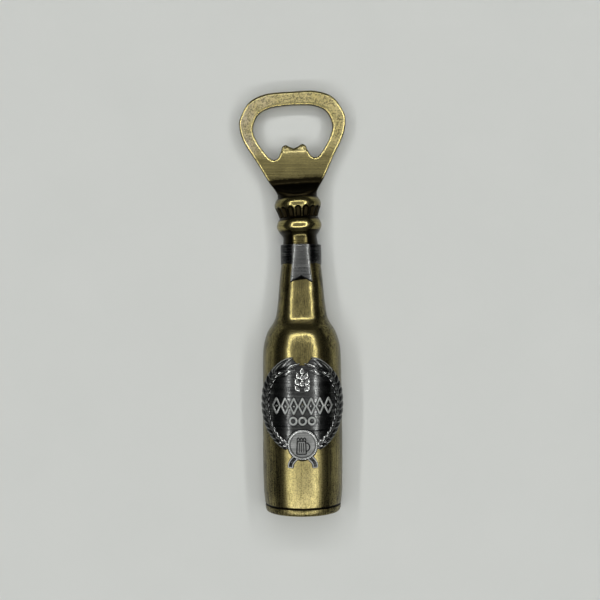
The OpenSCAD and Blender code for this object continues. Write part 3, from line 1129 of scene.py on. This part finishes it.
@dataclass
class Ribbon:
    """The silver band round the neck and its notched tail."""

    sizes: Sizes
    finishes: Finishes
    stand: float = 1.2
    tail_thickness: float = 0.5
    tail_top_half: float = 2.5
    tail_half: float = 3.9
    tail_over: float = 0.2
    tail_tip: float = 68.4
    tail_notch: float = 66.1

    def build(self) -> None:
        """Builds the band and the tail as one piece."""
        sheets = [self.band(), self.tail()]
        mount(make_piece("neck_ribbon_band", sheets, self.finishes.ribbon), "neck_ribbon")

    def band(self) -> Sheet:
        """The band, whose loop runs up its outside and back down its inside.

        Returns:
            The band's sheet.
        """
        s = self.sizes
        r, low, high = s.neck_r + self.stand, s.ribbon_bottom_y, s.ribbon_top_y
        outside = np.array([
            [r - 0.12, low], [r - 0.03, low + 0.06], [r, low + 0.2], [r, 0.5 * (low + high)],
            [r, high - 0.25], [r - 0.04, high - 0.08], [r - 0.16, high]])
        inside_r = [s.neck_r + 0.4, s.neck_r + 1.05]
        profile = np.vstack([outside, [[inside_r[0], high], [inside_r[1], low]]])
        angle = np.linspace(-1, 1, 180)
        corner_angle = math.acos(-s.axis_z / r)
        sweep = angle * (corner_angle - 0.02)
        wobble = 0.012 * ripple(7.2 * sweep[:, None], profile[None, :, 1], 2.6, 41)
        radius = profile[None, :, 0] - wobble * (profile[None, :, 0] > r - 0.2)
        points = np.stack([
            radius * np.sin(sweep)[:, None], np.broadcast_to(profile[None, :, 1], radius.shape),
            np.maximum(s.axis_z + radius * np.cos(sweep)[:, None], 0.0)], -1)
        line = np.array([0.5, 0.75, 0.4, 0.34, 0.4, 0.85, 0.5, 0.1, 0.1])
        return Sheet(points, line[None, :] * rubbed(sweep, 1.0, 0.0, 20, 30)[:, None])

    def tail(self) -> Sheet:
        """The tail, a curved slab over the band and the neck, with a V cut in its lower edge.

        Across it, u runs from side to side, and the lower edge rises from each tip to
        the notch by 1 - |u|. Its surface lies a tail's thickness above the neck, and a
        little above the band that it crosses.

        Returns:
            The tail's sheet.
        """
        s = self.sizes
        tip, notch, high = s.top_y - self.tail_tip, s.top_y - self.tail_notch, s.ribbon_top_y - 0.2
        wall = smooth_curve(s.wall_line(), 12)
        wall = wall[np.argsort(wall[:, 1])]
        u = np.concatenate([[-1, -0.985, -0.96], np.linspace(-0.93, 0.93, 57), [0.96, 0.985, 1]])
        v = np.concatenate([[0, 0.01, 0.025, 0.045], np.linspace(0.07, 0.97, 40), [0.985, 1]])
        bottom = tip + (notch - tip) * (1 - np.abs(u))
        y = bottom[None, :] + (high - bottom[None, :]) * v[:, None]
        part = (y - tip) / (high - tip)
        x = u[None, :] * (self.tail_half + (self.tail_top_half - self.tail_half) * part)
        neck = np.interp(y, wall[:, 1], wall[:, 0])
        band = s.neck_r + self.stand + self.tail_over
        below = neck + self.tail_thickness
        over = smooth_step(s.ribbon_bottom_y - 1.5, s.ribbon_bottom_y + 2.5, y)
        outer_r = below + (band - below) * over + 0.008 * ripple(x, y, 2.2, 43)
        side = smooth_step(1.0, 0.94, np.abs(u))[None, :]
        foot = smooth_step(0.0, 0.04, v)[:, None]
        head = smooth_step(1.0, 0.975, v)[:, None]
        outer_r = outer_r - 0.2 * (1 - side * foot * head)
        inner_r = np.minimum(neck + 0.03, outer_r - 0.1)
        power = s.squareness(y)
        outer = np.stack([x, y, s.axis_z + (outer_r**power - np.abs(x)**power)**(1 / power)], -1)
        inner = np.stack([x, y, s.axis_z + (inner_r**power - np.abs(x)**power)**(1 / power)], -1)
        loop = np.concatenate([outer, inner[:, ::-1]], 1)
        # Side edges rubbed bright with a painted highlight; the lower edge rows painted dark as shade under
        # the tail.
        bright = 0.36 + 0.6 * (1 - side) - 1.0 * (1 - foot)
        wear_and_painted_light = np.concatenate([bright + 0 * y, np.full(y.shape, 0.1)], 1)
        return Sheet(loop, wear_and_painted_light)


# ---------------------------------------------------------------- the badge

@dataclass
class Badge:
    """The silver oval badge: plate, wreath, roundel, ornament and ribbon ends.

    Its outline is drawn flat, as a face in X and Y, and laid on the bottle's round.
    """

    sizes: Sizes
    finishes: Finishes
    half: float = 13.25
    half_height: float = 15.2
    oval_power: float = 0.94
    plate: float = 0.3
    relief: float = 0.78
    leaf_pairs: int = 14
    leaf_length: float = 3.1
    leaf_width: float = 1.25
    leaf_lean: float = 0.6
    lozenges: int = 7
    lozenge_pitch: float = 3.05
    lozenge_height: float = 5.5
    ring_pitch: float = 3.3
    ring_r: float = 1.2

    @staticmethod
    def faded(x: Array, wear_and_painted_light: Array) -> Array:
        """Wear that falls towards the bottle's sides, where the badge is not rubbed."""
        side = 1 - rubbed(np.arcsin(np.clip(x / 15.0, -1, 1)), 1.0, 0.0, 26.0, 56.0)
        return wear_and_painted_light * (1 - 0.5 * side) - 0.12 * side

    @property
    def centre_y(self) -> float:
        """Height of the oval's centre."""
        return self.sizes.base_y + 39.1

    @property
    def roundel_y(self) -> float:
        """Height of the roundel's centre."""
        return self.sizes.base_y + 25.3

    def laid(self, x: Array, y: Array, lift: Array) -> Array:
        """Lays flat places on the bottle's front, lift above its wall.

        Args:
            x: Flat places across.
            y: Heights along the bottle.
            lift: Height above the wall.

        Returns:
            Points on the bottle's round.
        """
        s = self.sizes
        r = s.body_r + 0.06 + lift
        reach = s.body_r + 0.75
        sine = np.clip(x / reach, -0.995, 0.995)
        return np.stack([r * sine, y, s.axis_z + r * np.sqrt(1 - sine**2)], -1)

    def oval(self, turn: Array, out: Array | float = 0.0) -> Array:
        """Places on the oval, turn round from its lowest point and out from it.

        The oval is a little squarer than an ellipse: each coordinate is a sine or
        cosine raised to a power just below one.

        Args:
            turn: Angles from the lowest point, in radians.
            out: Distance outwards from the oval.

        Returns:
            Flat places about the oval's centre.
        """
        sine, cosine = np.sin(turn), -np.cos(turn)
        power = self.oval_power
        return np.stack([(self.half + out) * np.sign(sine) * np.abs(sine)**power,
                         (self.half_height + out) * np.sign(cosine) * np.abs(cosine)**power], -1)

    def build(self) -> None:
        """Builds each layer of the badge as its own piece."""
        layers = {
            "badge_plate": self.plate_sheets(), "badge_wreath": self.wreath_sheets(),
            "badge_roundel": self.roundel_sheets(), "badge_ornament": self.ornament_sheets(),
            "badge_ribbon_ends": self.ribbon_end_sheets()}
        for name, sheets in layers.items():
            mount(make_piece(name, sheets, self.finishes.badge, 50.0), "emblem_badge")

    def plate_sheets(self) -> list[Sheet]:
        """The oval plate, whose rings shrink from a low edge to its middle.

        Returns:
            The layer's sheets.
        """
        turn = np.linspace(0, 2 * math.pi, 241)[:-1]
        from_top = np.degrees(np.abs(turn - math.pi))
        from_foot = 180.0 - from_top
        out = 1.85 - 3.4 * smooth_step(17.0, 4.0, from_top) - 2.5 * smooth_step(24.0, 14.0, from_foot)
        rim = self.oval(turn, out)
        scale = np.concatenate([[1.0, 1.0, 0.995, 0.982], np.linspace(0.96, 0.02, 60)])
        lift = np.concatenate([[-0.03, 0.1, 0.2, 0.27], np.full(60, self.plate)])
        x = scale[:, None] * rim[None, :, 0]
        y = scale[:, None] * rim[None, :, 1] + self.centre_y
        h = lift[:, None] + 0.012 * ripple(x, y, 2.6, 51) * (lift[:, None] > 0.28)
        outside = self.laid(x, y, h)
        under = self.laid(x[::-1], y[::-1], np.full_like(x, -0.04))
        points = np.concatenate([outside, under[:-1]], 0)
        return [Sheet(points, self.faded(points[..., 0], np.full(points.shape[:2], 0.2)))]

    def line(self, path: Array, width: float, low: float, high: float, closed: bool = False,
             bright: float = 0.8, taper: bool = False) -> Sheet:
        """A raised line that follows a flat path.

        Its cross-section is a low arch: the height falls with the square of the place
        across it. Its crown is rubbed bright and its foot is painted dark as a shadow round the
        line. The underside closes it.

        Args:
            path: Flat places along the line.
            width: Width of the line.
            low: Height of its foot.
            high: Height of its crown.
            closed: Whether the path closes on itself.
            bright: Wear of the crown.
            taper: Whether the line narrows to points.

        Returns:
            The line's sheet.
        """
        if closed:
            tangent = np.roll(path, -1, 0) - np.roll(path, 1, 0)
        else:
            tangent = np.gradient(path, axis=0)
        tangent /= np.linalg.norm(tangent, axis=1, keepdims=True)
        normal = np.stack([-tangent[:, 1], tangent[:, 0]], -1)
        size = np.full(len(path), width / 2)
        if taper:
            size = size * np.sin(np.linspace(0.06, math.pi - 0.06, len(path)))**0.6
        across = np.array([-1.5, -1.45, -1, -0.8, -0.4, 0, 0.4, 0.8, 1, 1.45, 1.5])
        arch = np.array([-0.1, 0.12, 0.2, 0.75, 0.96, 1, 0.96, 0.75, 0.2, 0.12, -0.1])
        xy = path[:, None, :] + normal[:, None, :] * (size[:, None] * across[None, :])[:, :, None]
        lift = np.broadcast_to(low + (high - low) * arch[None, :], xy.shape[:2])
        # Crown rubbed bright; the foot rows painted dark as a shadow round the raised line.
        rub_and_painted_shade = np.where(arch > 0.5, bright * (0.4 + 0.6 * arch), -0.6)
        wear_and_painted_light = self.faded(xy[..., 0], np.broadcast_to(rub_and_painted_shade[None, :], lift.shape))
        return Sheet(self.laid(xy[..., 0], xy[..., 1], lift), wear_and_painted_light, 0.8 * (rub_and_painted_shade > 0), ring=closed)

    def leaf(self, root: Array, heading: Array, length: Array, width: Array, low: float,
             high: float, curl: Array, upper: Array | float = 1.0,
             shine: float = 0.0) -> list[Sheet]:
        """Leaves with a raised ridge and pointed ends.

        Along a leaf, its half-width is a sine that is fuller near the root. Across it,
        the height falls away from the ridge on both sides. Its edges are painted dark as shade,
        and one edge carries a painted highlight.

        Args:
            root: Flat place of each leaf's root.
            heading: Direction of each leaf, from +Y towards -X, in radians.
            length: Length of each leaf.
            width: Width of each leaf.
            low: Height of the leaf's edge.
            high: Height of its ridge.
            curl: Sideways bend of each tip.
            upper: Sign of the side whose edge carries a painted highlight.
            shine: Wear that the leaf's face has more.

        Returns:
            One sheet for each leaf.
        """
        s = np.linspace(0.0, 1.0, 13)[None, :, None]
        w = np.array([-1.05, -1.0, -0.78, -0.5, -0.12, 0.0, 0.12, 0.5, 0.78, 1.0, 1.05])[None, None, :]
        outline = np.maximum(np.sin(math.pi * s**0.8)**0.85, 0.03)
        ridge = np.array([-0.3, 0.5, 0.78, 0.9, 0.99, 1.0, 0.99, 0.9, 0.78, 0.5, -0.3])[None, None, :]
        # Ridge rubbed bright; the edges painted dark as shade between the leaves.
        rub_and_painted_shade = np.array([-1.3, -1.1, 0.1, 0.24, 0.3, 0.32, 0.3, 0.24, 0.0, -1.1, -1.3])[None, None, :]
        # Painted highlight along one edge of the leaf.
        rim = np.array([0.0, 0.2, 1.1, 0.6, 0.1, 0.0, 0.0, 0.0, 0.0, 0.0, 0.0])[None, None, :]
        body = np.maximum(np.sin(math.pi * np.clip(s, 0.04, 0.96)), 0.15)**0.5
        lx = w * outline * (width / 2)[:, None, None] + curl[:, None, None] * s**2
        ly = s * length[:, None, None] + 0 * w
        c, n = np.cos(heading)[:, None, None], np.sin(heading)[:, None, None]
        x = root[:, 0][:, None, None] + lx * c - ly * n
        y = root[:, 1][:, None, None] + lx * n + ly * c
        lift = low + (high - low) * ridge * body
        lit = np.where(np.broadcast_to(upper, heading.shape)[:, None, None] > 0, rim, rim[..., ::-1])
        wear_and_painted_light = self.faded(x, rub_and_painted_shade + lit + shine * (rub_and_painted_shade > 0) + 0 * x)
        points = self.laid(x, y, lift)
        return [Sheet(points[i], wear_and_painted_light[i]) for i in range(len(root))]

    def wreath_sheets(self) -> list[Sheet]:
        """Two branches of leaf pairs on a stem, mirrored left and right.

        Returns:
            The layer's sheets.
        """
        sheets: list[Sheet] = []
        turn = np.radians(np.linspace(23, 131, self.leaf_pairs))
        top = ((10.0, 11.5, 3.1, 16.0, 1.8), (7.3, 12.2, 0.4, 14.0, 1.5), (8.6, 9.9, 2.2, 11.7, 1.7))
        for side in (1.0, -1.0):
            flip = np.array([side, 1.0])
            stem_turn = np.radians(np.linspace(24, 132, 80))
            stem = self.oval(stem_turn) * flip + [0, self.centre_y]
            sheets.append(self.line(stem, 0.55, self.plate - 0.1, 0.55, bright=0.3))
            place = self.oval(turn)
            ahead = self.oval(turn + 0.01) - place
            heading = np.arctan2(-ahead[:, 0], ahead[:, 1])
            length, width = (np.full(len(turn), size) for size in (self.leaf_length, self.leaf_width))
            for lean in (self.leaf_lean, -self.leaf_lean):
                sheets += self.leaf(
                    place * flip + [0, self.centre_y], side * (heading + lean), length, width,
                    0.12, self.relief, side * lean * np.full(len(turn), 0.4), side * lean)
            for root_x, root_y, tip_x, tip_y, wide in top:
                run = np.array([tip_x - root_x, tip_y - root_y])
                root = np.array([[root_x, root_y]]) * flip + [0, self.centre_y]
                heading = side * math.atan2(-run[0], run[1])
                sheets += self.leaf(root, np.array([heading]), np.array([np.hypot(*run)]), np.array([wide]),
                                    0.2, self.relief, side * np.array([0.35]), -side)
            contour = smooth_curve([[10.9, 11.1], [8.6, 13.9], [6.0, 15.7], [3.4, 16.5]], 10)
            sheets.append(self.line(contour * flip + [0, self.centre_y], 0.34, 0.3, 0.78,
                                    bright=1.0, taper=True))
        return sheets

    def roundel_sheets(self) -> list[Sheet]:
        """The roundel: a raised disc with a rubbed bright rim and a painted shadow round its foot, and a
        tankard drawn in lines.

        Returns:
            The layer's sheets.
        """
        turn = np.linspace(0, 2 * math.pi, 145)[:-1]
        reach = np.array([5.65, 5.62, 5.4, 5.3, 5.18, 5.0, 4.75, 4.6, 4.5, 4.0, 3.0, 2.0, 1.0, 0.1])
        lift = np.array([-0.04, 0.3, 0.36, 0.5, 0.68, 0.74, 0.72, 0.62, 0.57, 0.56, 0.56, 0.57, 0.57, 0.57])
        # Outer rows painted dark as a shadow round the disc's foot; the rim's crown rubbed bright.
        bright = np.array([-1.0, -1.0, -1.0, -0.6, 1.2, 1.2, 1.1, 0.5, 0.3, 0.56, 0.6, 0.6, 0.6, 0.6])
        x = reach[:, None] * np.sin(turn)[None, :]
        y = self.roundel_y + reach[:, None] * np.cos(turn)[None, :]
        top = self.laid(x, y, np.broadcast_to(lift[:, None], x.shape))
        wear_and_painted_light = np.broadcast_to(bright[:, None], x.shape)
        return [Sheet(top, wear_and_painted_light, 0.8 * (wear_and_painted_light > 0.3) - 0.4 * (wear_and_painted_light > 1.0)), *self.tankard()]

    def tankard(self) -> list[Sheet]:
        """A plain ribbed tankard with foam and a handle, drawn in dark sunk-looking lines.

        Returns:
            The drawing's lines.
        """
        cx, cy = -0.45, self.roundel_y - 0.35
        lines: list[Sheet] = []

        def draw(path: Array, width: float, closed: bool = False) -> None:
            """Adds one dark line of the drawing."""
            lines.append(self.line(path, width, 0.54, 0.64, closed=closed, bright=-0.9))

        body = np.array([[-1.45, 1.7], [1.45, 1.7], [1.65, -2.8], [-1.65, -2.8]]) + [cx, cy]
        draw(self.filled(body, 14), 0.42, closed=True)
        for place in (-0.7, 0.0, 0.7):
            draw(np.linspace([cx + place, cy + 1.0], [cx + place * 1.1, cy - 2.2], 10), 0.3)
        arc = np.linspace(0.45 * math.pi, -0.45 * math.pi, 22)
        draw(np.stack([cx + 1.55 + 1.3 * np.cos(arc), cy - 0.4 + 1.45 * np.sin(arc)], -1), 0.4)
        swing = np.linspace(0, 3 * math.pi, 46)
        foam = np.stack([cx - 1.6 + 1.07 * swing / math.pi, cy + 1.95 + 0.85 * np.abs(np.sin(swing))], -1)
        draw(foam, 0.38)
        return lines

    @staticmethod
    def filled(corners: Array, steps: int) -> Array:
        """Even points along a closed line of straight sides."""
        t = np.linspace(0, 1, steps, endpoint=False)[None, :, None]
        return (corners[:, None, :] * (1 - t) + np.roll(corners, -1, 0)[:, None, :] * t).reshape(-1, 2)

    def ornament_sheets(self) -> list[Sheet]:
        """Generic ornament: a barley ear, a row of lozenges and three small rings.

        Returns:
            The layer's sheets.
        """
        sheets: list[Sheet] = []
        ear_y = self.centre_y + 6.0
        root = [[0.0, ear_y + 4.3], [0.0, ear_y + 2.2], [0.0, ear_y + 0.1]]
        sheets += self.leaf(np.array(root), np.zeros(3), np.full(3, 2.5), np.array([2.0, 1.9, 1.9]),
                            0.25, 0.7, np.zeros(3), 1.0, 0.42)
        for side in (1.0, -1.0):
            place = np.array([[side, ear_y + 2.8], [1.2 * side, ear_y + 0.7], [side, ear_y - 1.4]])
            heading = -side * np.array([0.34, 0.46, 0.6])
            sheets += self.leaf(place, heading, np.array([2.6, 2.8, 2.8]), np.array([1.8, 2.0, 2.0]),
                                0.25, 0.7, side * np.array([0.1, 0.15, 0.2]), -side, 0.42)
        row_y, pitch, tall = self.centre_y - 0.45, self.lozenge_pitch, self.lozenge_height
        for i in range(self.lozenges):
            x = (i - (self.lozenges - 1) / 2) * pitch
            corners = np.array([[x, row_y + tall / 2], [x + pitch * 0.42, row_y],
                                [x, row_y - tall / 2], [x - pitch * 0.42, row_y]])
            sheets.append(self.line(self.filled(corners, 10), 0.7, 0.26, 0.7, closed=True, bright=1.0))
            sheets.append(self.bead(x, row_y, 0.5))
        turn = np.linspace(0, 2 * math.pi, 37)[:-1]
        for x in (-self.ring_pitch, 0.0, self.ring_pitch):
            ring = np.stack([x + self.ring_r * np.sin(turn),
                             self.centre_y - 5.6 + self.ring_r * np.cos(turn)], -1)
            sheets.append(self.line(ring, 0.8, 0.26, 0.7, closed=True, bright=1.1))
        return sheets

    def bead(self, x: float, y: float, radius: float) -> Sheet:
        """A small round boss: rings that shrink as they rise over a quarter circle.

        Args:
            x: Flat place across.
            y: Height along the bottle.
            radius: Radius of the boss.

        Returns:
            The boss's sheet.
        """
        turn = np.linspace(0, 2 * math.pi, 17)[:-1]
        rise = np.radians(np.array([-20, 0, 20, 40, 60, 78, 88]))
        px = x + radius * np.cos(rise)[:, None] * np.sin(turn)[None, :]
        py = y + radius * np.cos(rise)[:, None] * np.cos(turn)[None, :]
        lift = np.broadcast_to(0.25 + 0.45 * np.sin(rise)[:, None], px.shape)
        return Sheet(self.laid(px, py, lift), np.full(px.shape, 0.7))

    def ribbon_end_sheets(self) -> list[Sheet]:
        """Two short ribbon ends that curve down from under the roundel, edged with a line.

        Returns:
            The layer's sheets.
        """
        sheets: list[Sheet] = []
        spine = smooth_curve([[2.5, -18.2], [3.6, -19.3], [4.25, -20.4], [4.35, -21.6]], 9)
        slope = np.gradient(spine, axis=0)
        slope /= np.linalg.norm(slope, axis=1, keepdims=True)
        across = np.stack([-slope[:, 1], slope[:, 0]], -1) * 0.72
        edge = np.vstack([spine + across, (spine - across)[::-1]])
        for side in (1.0, -1.0):
            flip = np.array([side, 1.0])
            place = np.array([0.0, self.centre_y])
            sheets.append(self.line(spine * flip + place, 1.0, -0.02, 0.4, bright=0.12))
            sheets.append(self.line(edge * flip + place, 0.5, 0.2, 0.64, bright=1.1))
        return sheets


# ---------------------------------------------------------------- back and fixings

@dataclass
class Fixings:
    """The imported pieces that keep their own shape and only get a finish."""

    finishes: Finishes

    def dress(self) -> None:
        """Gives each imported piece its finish."""
        plan = {
            "back_plate": self.finishes.body,
            "plate_screw_upper": self.finishes.steel, "plate_screw_lower": self.finishes.steel,
            "tang_rivet_upper": self.finishes.steel, "tang_rivet_lower": self.finishes.steel,
            "magnet_upper": self.finishes.ferrite, "magnet_lower": self.finishes.ferrite}
        for name, material in plan.items():
            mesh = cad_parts[name].data
            mesh.materials.clear()
            mesh.materials.append(material)
            log.info("packed piece %s dressed", name)


# ---------------------------------------------------------------- studio

@dataclass
class Studio:
    """Pale floor, a square frame of light strips overhead, and the camera above."""

    distance: float = 0.37
    view_width: float = 0.21747
    sensor: float = 36.0
    roll_deg: float = 0.52
    aim: tuple[float, float] = (-0.0005, 0.00035)
    lamp_height: float = 0.38
    lamp_half: float = 0.298
    strip: float = 0.04
    strip_power: float = 30.6
    fill_power: float = 1.05
    room_colour: tuple[float, float, float, float] = (0.9, 0.95, 1.0, 1.0)
    room_light: float = 0.02
    floor_half: float = 3.0
    floor_drop: float = 1e-5
    FLOOR_DARK = (0.705, 0.725, 0.69)
    FLOOR_LIGHT = (0.745, 0.76, 0.725)

    def build(self) -> None:
        """Builds the whole studio."""
        self.floor()
        self.lamps()
        self.camera()
        bpy.context.scene.view_settings.view_transform = "Standard"

    def floor(self) -> None:
        """A wide, pale floor."""
        tree = NodeTree("studio_floor")
        cloud = tree.noise(30.0)
        colour = tree.blend(cloud, self.FLOOR_DARK, self.FLOOR_LIGHT)
        tree.link(colour, tree.shader.inputs["Base Color"])
        tree.shader.inputs["Roughness"].default_value = 0.7
        mesh = bpy.data.meshes.new("floor")
        corners = [(x * self.floor_half, y * self.floor_half, -self.floor_drop)
                   for x, y in ((-1, -1), (1, -1), (1, 1), (-1, 1))]
        mesh.from_pydata(corners, [], [(0, 1, 2, 3)])
        mesh.materials.append(tree.material)
        floor = bpy.data.objects.new("floor", mesh)
        bpy.context.scene.collection.objects.link(floor)

    def lamp(self, name: str, place: tuple[float, float], size: tuple[float, float], power: float) -> None:
        """One rectangular lamp that shines straight down.

        Args:
            name: Name of the lamp.
            place: Its centre on the floor plan, in metres.
            size: Its sides, in metres.
            power: Its power, in watts.
        """
        data = bpy.data.lights.new(name, "AREA")
        data.shape = "RECTANGLE"
        data.size, data.size_y = size
        data.energy = power
        lamp = bpy.data.objects.new(name, data)
        lamp.location = (*place, self.lamp_height)
        lamp.visible_camera = False
        bpy.context.scene.collection.objects.link(lamp)

    def lamps(self) -> None:
        """Four strips round a square and a weak panel inside it, with a dim room."""
        w, t = self.lamp_half, self.strip
        long, short = 2 * w + t, 2 * w - t
        for name, place, size in (
                ("strip_left", (-w, 0), (t, long)), ("strip_right", (w, 0), (t, long)),
                ("strip_head", (0, w), (short, t)), ("strip_foot", (0, -w), (short, t))):
            self.lamp(name, place, size, self.strip_power * size[0] * size[1])
        self.lamp("panel", (0, 0), (short, short), self.fill_power * short**2)
        world = bpy.data.worlds.new("room")
        world.use_nodes = True
        background = world.node_tree.nodes["Background"]
        background.inputs["Color"].default_value = self.room_colour
        background.inputs["Strength"].default_value = self.room_light
        bpy.context.scene.world = world

    def camera(self) -> None:
        """The camera, straight above the opener and turned a little."""
        data = bpy.data.cameras.new("camera")
        data.sensor_width = self.sensor
        data.lens = self.sensor * self.distance / self.view_width
        camera = bpy.data.objects.new("camera", data)
        camera.location = (*self.aim, self.distance)
        camera.rotation_euler = (0.0, 0.0, -math.radians(self.roll_deg))
        bpy.context.scene.collection.objects.link(camera)
        bpy.context.scene.camera = camera


def main() -> None:
    """Builds the opener's pieces in order, then the studio."""
    logging.basicConfig(level=logging.INFO, format="%(message)s")
    sizes = Sizes.from_frame()
    finishes = Finishes()
    Bottle(sizes, finishes).build()
    OpenerHead(sizes, finishes).build()
    Ribbon(sizes, finishes).build()
    Badge(sizes, finishes).build()
    Fixings(finishes).dress()
    Studio().build()


if __name__ == "__main__":
    main()
